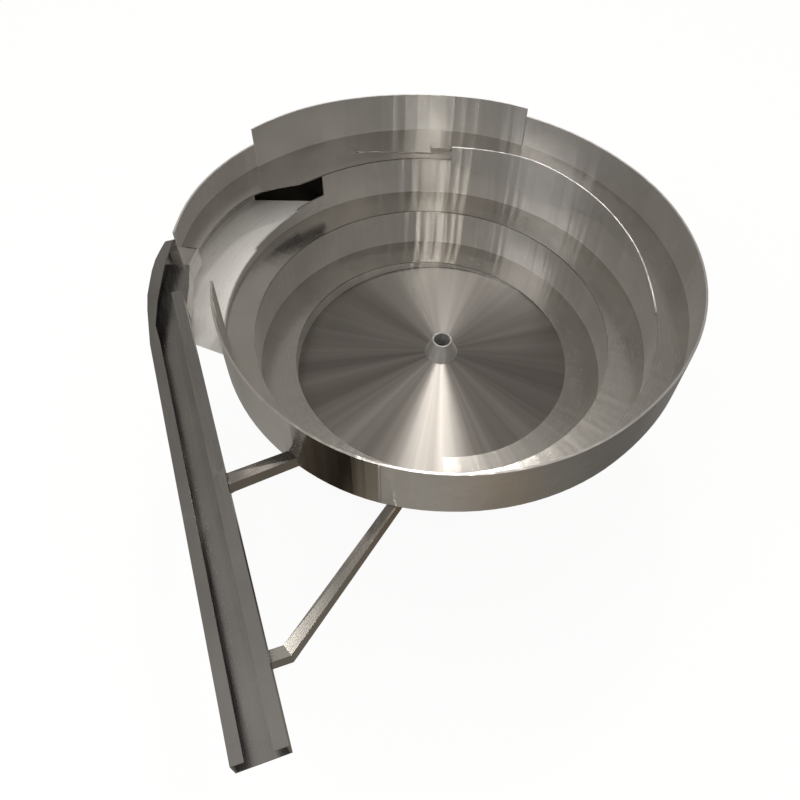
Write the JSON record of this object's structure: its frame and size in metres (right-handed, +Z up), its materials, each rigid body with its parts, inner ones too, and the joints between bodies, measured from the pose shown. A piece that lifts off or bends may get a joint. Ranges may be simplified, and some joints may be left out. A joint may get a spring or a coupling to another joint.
{
  "type": "vibratory bowl feeder",
  "caption": "Spiral track bowl with return pan and discharge chute on a leaf spring vibratory drive.",
  "frame": {"origin": "bowl axis at the underside of the rubber feet", "axes": "+Z up along the bowl axis, -Y towards the chute's discharge end, -X the side that the chute is on"},
  "size_m": [0.5154, 0.6945, 0.304],
  "materials": {
    "bowl_sheet": "satin stainless sheet",
    "bright_sheet": "polished stainless sheet",
    "dark_sheet": "stainless sheet that mirrors a dark room",
    "arm_bar": "drawn steel bar",
    "ring_paint": "grey paint",
    "drive_iron": "painted casting",
    "clamp_steel": "machined steel",
    "spring_steel": "blued spring steel",
    "black_screw": "black oxide",
    "lamination": "varnished laminations",
    "winding": "enamelled copper wire",
    "foot_rubber": "matt rubber",
    "cover_paint": "grey paint",
    "gland_plastic": "black nylon"
  },
  "bodies": {
    "base": {"leaf_springs": "spring_steel", "lower_spring_blocks": "drive_iron", "lower_clamp_plates": "clamp_steel", "lower_spacers": "clamp_steel", "lower_clamp_bolts": "black_screw", "base_plate": "drive_iron", "magnet_core": "lamination", "magnet_coil": "winding", "magnet_bracket": "drive_iron", "magnet_screws": "black_screw", "rubber_feet": "foot_rubber", "foot_studs": "clamp_steel", "cover": "cover_paint", "cover_screws": "black_screw", "cable_gland": "gland_plastic", "gland_nut": "gland_plastic"},
    "clamp": {"hold_down_bolt": "black_screw", "hold_down_washer": "clamp_steel"},
    "bowl": {"bowl_disc": "bowl_sheet", "centre_hub": "bright_sheet", "hub_post": "ring_paint", "track_inner": "bowl_sheet", "track_middle": "bowl_sheet", "track_outer": "bowl_sheet", "riser_inner": "bowl_sheet", "riser_middle": "bowl_sheet", "riser_outer": "bowl_sheet", "wall_front_left": "dark_sheet", "wall_right": "bowl_sheet", "wall_back_left": "bowl_sheet", "raised_back_plate": "bright_sheet", "crescent_guard": "bright_sheet", "selector_plate": "bright_sheet", "selector_rail": "bright_sheet", "return_pan": "bowl_sheet", "pan_back_wall": "dark_sheet", "pan_side_wall": "bowl_sheet", "drop_hole_side": "bowl_sheet", "return_sill": "bowl_sheet", "entry_tray": "bowl_sheet", "entry_guide_wall": "bright_sheet", "entry_guide_lip": "bright_sheet", "chute_channel": "bright_sheet", "chute_left_lip": "bright_sheet", "chute_right_lip": "bright_sheet", "arm_short": "arm_bar", "arm_long": "arm_bar", "bowl_base_ring": "ring_paint", "support_ribs": "ring_paint", "top_plate": "drive_iron", "armature": "lamination", "armature_screws": "black_screw", "upper_spring_blocks": "drive_iron", "upper_clamp_plates": "clamp_steel", "upper_spacers": "clamp_steel", "upper_clamp_bolts": "black_screw"}
  },
  "joints": [
    {"name": "bowl_lift", "type": "slide", "parent": "base", "child": "clamp", "axis": [0, 0, 1], "range_m": [-0.00025, 0.00025], "stiffness_N_per_m": 400000},
    {"name": "bowl_twist", "type": "hinge", "parent": "clamp", "child": "bowl", "pos_m": [0, 0, 0.117], "axis": [0, 0, 1], "range_deg": [-0.55, 0.55], "stiffness_Nm_per_rad": 12000, "deforming": ["leaf_springs"]}
  ],
  "couplings": [
    {"joint": "bowl_lift", "follows": "bowl_twist", "m_per_rad": 0.02257}
  ]
}
